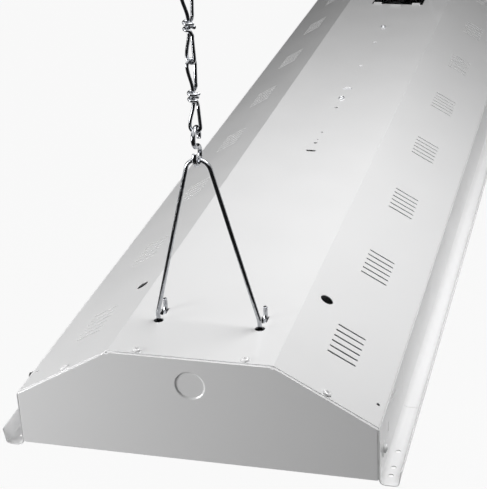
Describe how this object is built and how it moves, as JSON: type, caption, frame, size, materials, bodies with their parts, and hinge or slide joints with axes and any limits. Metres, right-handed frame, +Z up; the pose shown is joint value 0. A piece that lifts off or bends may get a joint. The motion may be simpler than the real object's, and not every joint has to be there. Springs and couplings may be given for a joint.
{
  "type": "hanging shop light",
  "caption": "Long white sheet-metal fluorescent shop light with sloped, vented shoulders, hung at each end from a wire V, an S-hook and a knotted double-loop chain.",
  "frame": {"origin": "under the middle of the light, level with the undersides of its two gutters, on which it stands", "axes": "+Z up, +Y along the light away from the end that the picture shows, +X to the right seen from that end"},
  "size_m": [0.279, 1.22, 0.3381],
  "materials": {
    "white_enamel": "satin white powder coat",
    "white_screws": "white painted screw heads",
    "black_plastic": "matte black",
    "white_plastic": "matte white",
    "tube_glass": "opaque white phosphor inside clear glass",
    "cap_aluminium": "brushed",
    "pin_brass": "bright",
    "reflector_aluminium": "specular sheet",
    "ballast_case": "smooth white case",
    "zinc_screws": "zinc plated",
    "lead_sheath": "matte black sleeve",
    "zinc_wire": "bright zinc plated wire"
  },
  "bodies": {
    "light": {"housing": "white_enamel", "near_end_plate": "white_enamel", "far_end_plate": "white_enamel", "left_rail": "white_enamel", "right_rail": "white_enamel", "near_left_rail_end": "white_enamel", "near_right_rail_end": "white_enamel", "far_left_rail_end": "white_enamel", "far_right_rail_end": "white_enamel", "end_screws": "white_screws", "rail_screws": "white_screws", "hole_plug": "black_plastic", "near_socket_bar": "white_enamel", "far_socket_bar": "white_enamel", "near_holder_1": "white_plastic", "near_holder_2": "white_plastic", "near_holder_3": "white_plastic", "near_holder_4": "white_plastic", "far_holder_1": "white_plastic", "far_holder_2": "white_plastic", "far_holder_3": "white_plastic", "far_holder_4": "white_plastic", "reflector": "reflector_aluminium", "reflector_screws": "zinc_screws", "ballast": "ballast_case", "ballast_screws": "zinc_screws", "near_leads": "lead_sheath", "far_leads": "lead_sheath"},
    "lamp_1": {"lamp_1_tube": "tube_glass", "lamp_1_caps": "cap_aluminium", "lamp_1_pins": "pin_brass", "lamp_1_rotors": "white_plastic"},
    "lamp_2": {"lamp_2_tube": "tube_glass", "lamp_2_caps": "cap_aluminium", "lamp_2_pins": "pin_brass", "lamp_2_rotors": "white_plastic"},
    "lamp_3": {"lamp_3_tube": "tube_glass", "lamp_3_caps": "cap_aluminium", "lamp_3_pins": "pin_brass", "lamp_3_rotors": "white_plastic"},
    "lamp_4": {"lamp_4_tube": "tube_glass", "lamp_4_caps": "cap_aluminium", "lamp_4_pins": "pin_brass", "lamp_4_rotors": "white_plastic"},
    "near_hanger_body": {"near_hanger": "zinc_wire"},
    "near_lower_hook_body": {"near_lower_hook": "zinc_wire"},
    "near_link_1_body": {"near_link_1": "zinc_wire"},
    "near_link_2_body": {"near_link_2": "zinc_wire"},
    "near_upper_hook_body": {"near_upper_hook": "zinc_wire"},
    "far_hanger_body": {"far_hanger": "zinc_wire"},
    "far_lower_hook_body": {"far_lower_hook": "zinc_wire"},
    "far_link_1_body": {"far_link_1": "zinc_wire"},
    "far_link_2_body": {"far_link_2": "zinc_wire"},
    "far_upper_hook_body": {"far_upper_hook": "zinc_wire"}
  },
  "joints": [
    {"name": "lamp_1_turn", "type": "hinge", "parent": "light", "child": "lamp_1", "pos_m": [-0.087, 0, 0.021], "axis": [0, 1, 0], "range_deg": [0, 90]},
    {"name": "lamp_2_turn", "type": "hinge", "parent": "light", "child": "lamp_2", "pos_m": [-0.029, 0, 0.021], "axis": [0, 1, 0], "range_deg": [0, 90]},
    {"name": "lamp_3_turn", "type": "hinge", "parent": "light", "child": "lamp_3", "pos_m": [0.029, 0, 0.021], "axis": [0, 1, 0], "range_deg": [0, 90]},
    {"name": "lamp_4_turn", "type": "hinge", "parent": "light", "child": "lamp_4", "pos_m": [0.087, 0, 0.021], "axis": [0, 1, 0], "range_deg": [0, 90]},
    {"name": "near_hanger_swing", "type": "hinge", "parent": "light", "child": "near_hanger_body", "pos_m": [0, -0.5531, 0.08479], "axis": [1, 0, 0], "range_deg": [-25, 25]},
    {"name": "near_lower_hook_swing", "type": "hinge", "parent": "near_hanger_body", "child": "near_lower_hook_body", "pos_m": [0, -0.56115, 0.20121], "axis": [1, 0, 0], "range_deg": [-35, 35]},
    {"name": "near_link_1_swing", "type": "hinge", "parent": "near_lower_hook_body", "child": "near_link_1_body", "pos_m": [0, -0.56115, 0.22306], "axis": [0, 1, 0], "range_deg": [-30, 30]},
    {"name": "near_link_2_swing", "type": "hinge", "parent": "near_link_1_body", "child": "near_link_2_body", "pos_m": [0, -0.56115, 0.26846], "axis": [0.5, 0.866, 0], "range_deg": [-30, 30]},
    {"name": "near_upper_hook_swing", "type": "hinge", "parent": "near_link_2_body", "child": "near_upper_hook_body", "pos_m": [0, -0.56115, 0.31431], "axis": [0.866, 0.5, 0], "range_deg": [-30, 30]},
    {"name": "far_hanger_swing", "type": "hinge", "parent": "light", "child": "far_hanger_body", "pos_m": [0, 0.5531, 0.08479], "axis": [1, 0, 0], "range_deg": [-25, 25]},
    {"name": "far_lower_hook_swing", "type": "hinge", "parent": "far_hanger_body", "child": "far_lower_hook_body", "pos_m": [0, 0.56115, 0.20121], "axis": [1, 0, 0], "range_deg": [-35, 35]},
    {"name": "far_link_1_swing", "type": "hinge", "parent": "far_lower_hook_body", "child": "far_link_1_body", "pos_m": [0, 0.56115, 0.22306], "axis": [0, 1, 0], "range_deg": [-30, 30]},
    {"name": "far_link_2_swing", "type": "hinge", "parent": "far_link_1_body", "child": "far_link_2_body", "pos_m": [0, 0.56115, 0.26846], "axis": [0.5, 0.866, 0], "range_deg": [-30, 30]},
    {"name": "far_upper_hook_swing", "type": "hinge", "parent": "far_link_2_body", "child": "far_upper_hook_body", "pos_m": [0, 0.56115, 0.31431], "axis": [0.866, 0.5, 0], "range_deg": [-30, 30]}
  ]
}
